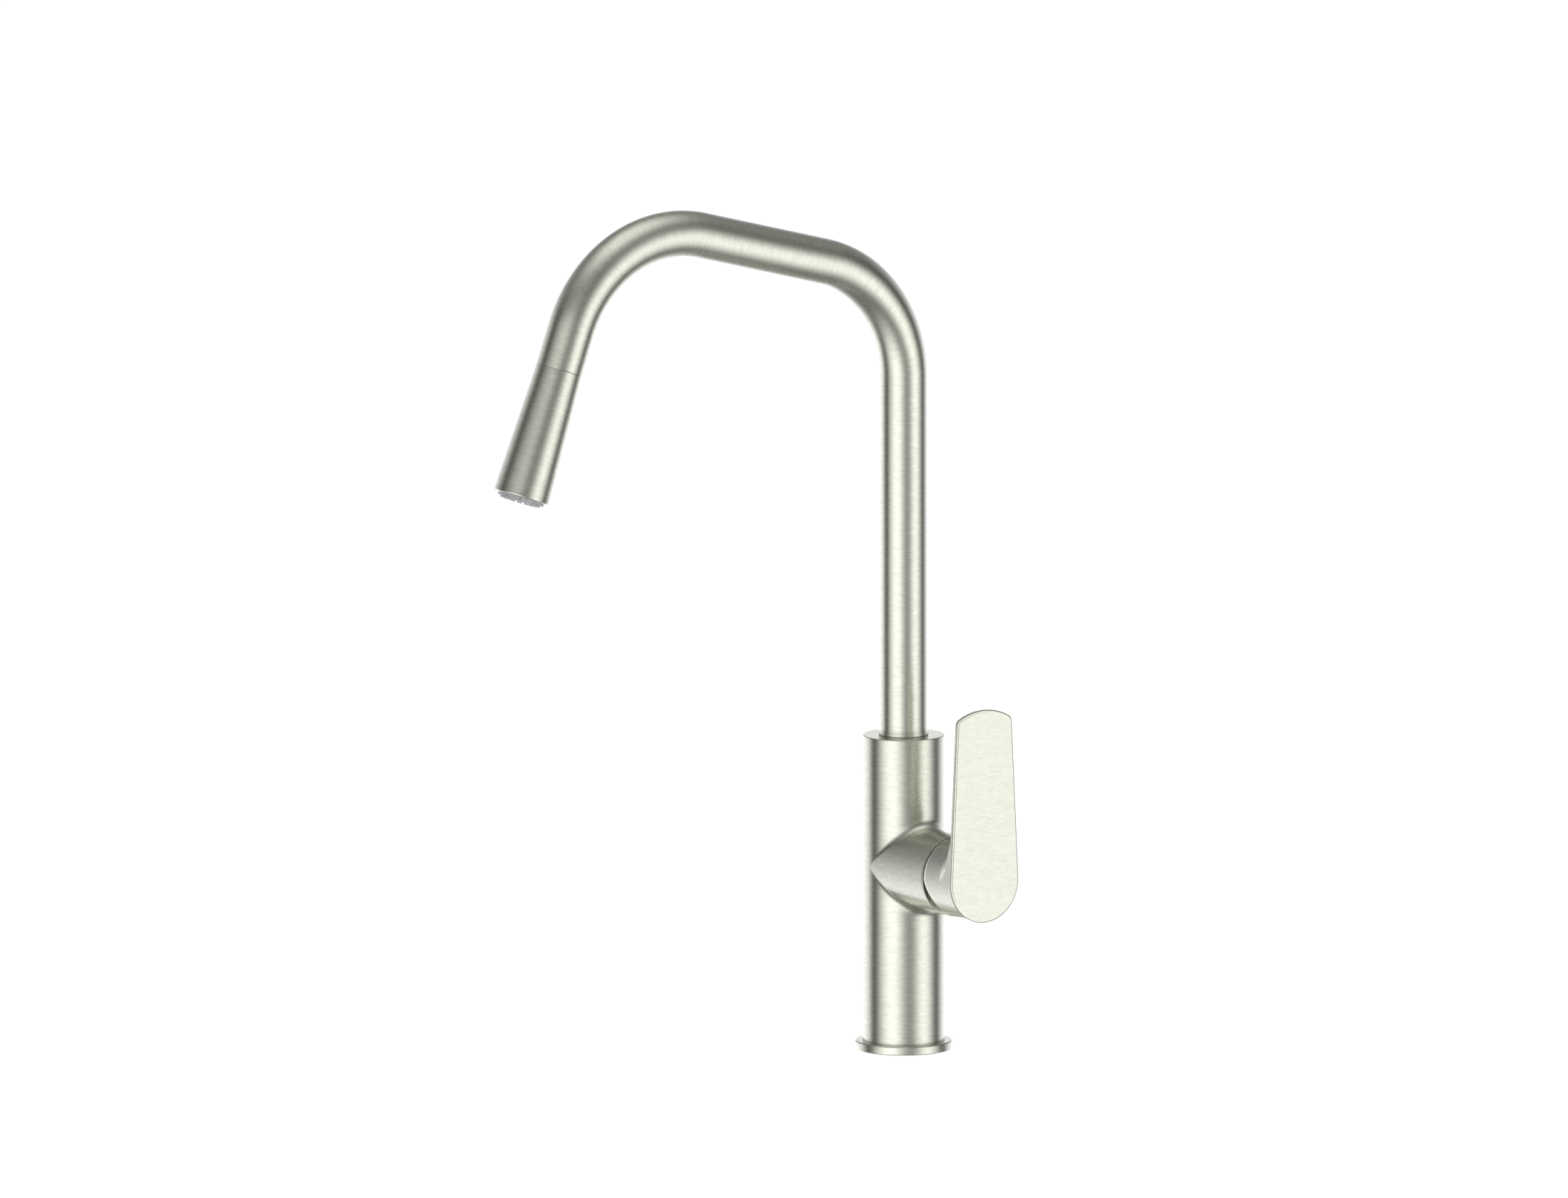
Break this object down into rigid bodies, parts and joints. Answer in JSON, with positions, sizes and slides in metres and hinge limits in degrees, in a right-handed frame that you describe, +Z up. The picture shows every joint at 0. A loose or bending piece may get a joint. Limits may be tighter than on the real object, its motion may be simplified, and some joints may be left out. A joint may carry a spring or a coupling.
{
  "type": "pull down kitchen faucet",
  "caption": "Single-lever kitchen mixer tap with a round body, a side lever, a tall swivelling bent spout and a pull-down spray head that docks in the spout.",
  "frame": {"origin": "centre of the base flange's underside, where it rests on the deck", "axes": "+Z up along the body, the spout reaches towards -Y, the lever stands on the +X side"},
  "size_m": [0.1052, 0.2844, 0.5615],
  "materials": {
    "brushed_nickel": "fine brushed nickel, satin",
    "brass": "turned brass",
    "steel": "turned steel",
    "rubber": "matt",
    "black_plastic": "moulded",
    "white_plastic": "moulded",
    "grey_plastic": "moulded, satin",
    "ceramic": "lapped ceramic",
    "hose_braid": "braided nylon sleeve"
  },
  "bodies": {
    "mixer": {"body_casting": "brushed_nickel", "base_flange": "brushed_nickel", "base_seal": "rubber", "mounting_shank": "brass", "deck_gasket": "rubber", "clamp_washer": "steel", "mounting_nut": "brass", "jack_screws": "steel", "outlet_tube": "brass", "outlet_connector": "steel", "spray_hose_lower": "hose_braid", "hose_end_fitting": "steel", "spout_stop_screw": "steel", "swivel_washer": "black_plastic", "cartridge_base": "white_plastic", "port_seals": "rubber", "cartridge_housing": "white_plastic", "fixed_disc": "ceramic", "retaining_nut": "brass", "trim_dome": "brushed_nickel"},
    "rotor": {"rotary_guide": "grey_plastic", "stem_pin": "steel"},
    "disc": {"moving_disc": "ceramic", "disc_carrier": "black_plastic"},
    "handle": {"handle_lever": "brushed_nickel", "lever_stem": "steel", "lever_set_screw": "steel", "set_screw_cap": "brushed_nickel"},
    "spout": {"spout_tube": "brushed_nickel", "spout_foot": "brass", "slide_ring_upper": "white_plastic", "slide_ring_lower": "white_plastic", "dock_insert": "black_plastic", "dock_magnet": "steel", "spray_hose_upper": "hose_braid"},
    "hose_end": {"spray_hose_end": "hose_braid", "crimp_sleeve": "steel", "hose_nipple": "brass", "nipple_seal": "rubber"},
    "spray_head": {"spray_head_shell": "brushed_nickel", "dock_collar": "black_plastic", "head_magnet": "steel", "swivel_nut": "brass", "head_core": "white_plastic", "inlet_filter": "steel", "check_valve": "white_plastic", "flow_restrictor": "black_plastic", "nozzle_seal": "rubber", "nozzle_ring": "grey_plastic", "spray_screen": "white_plastic"},
    "poppet": {"check_poppet": "black_plastic"}
  },
  "joints": [
    {"name": "spout_swivel", "type": "hinge", "parent": "mixer", "child": "spout", "pos_m": [0, 0, 0.15], "axis": [0, 0, 1], "continuous": true},
    {"name": "head_pull", "type": "slide", "parent": "spout", "child": "hose_end", "axis": [0, -0.342, -0.9397], "range_m": [0, 0.28]},
    {"name": "head_swivel", "type": "hinge", "parent": "hose_end", "child": "spray_head", "pos_m": [0, -0.21734, 0.37928], "axis": [0, -0.342, -0.9397], "continuous": true},
    {"name": "poppet_lift", "type": "slide", "parent": "spray_head", "child": "poppet", "axis": [0, -0.342, -0.9397], "range_m": [0, 0.0015], "stiffness_N_per_m": 60, "springref_m": -0.002},
    {"name": "lever_turn", "type": "hinge", "parent": "mixer", "child": "rotor", "pos_m": [0.041, 0, 0.0981], "axis": [1, 0, 0], "range_deg": [-50, 50]},
    {"name": "lever_tilt", "type": "hinge", "parent": "rotor", "child": "handle", "pos_m": [0.041, 0, 0.0981], "axis": [0, 1, 0], "range_deg": [0, 20]},
    {"name": "disc_slide", "type": "slide", "parent": "rotor", "child": "disc", "axis": [0, 0, 1], "range_m": [0, 0.0031]}
  ],
  "couplings": [
    {"joint": "disc_slide", "follows": "lever_tilt", "m_per_rad": 0.008818}
  ]
}
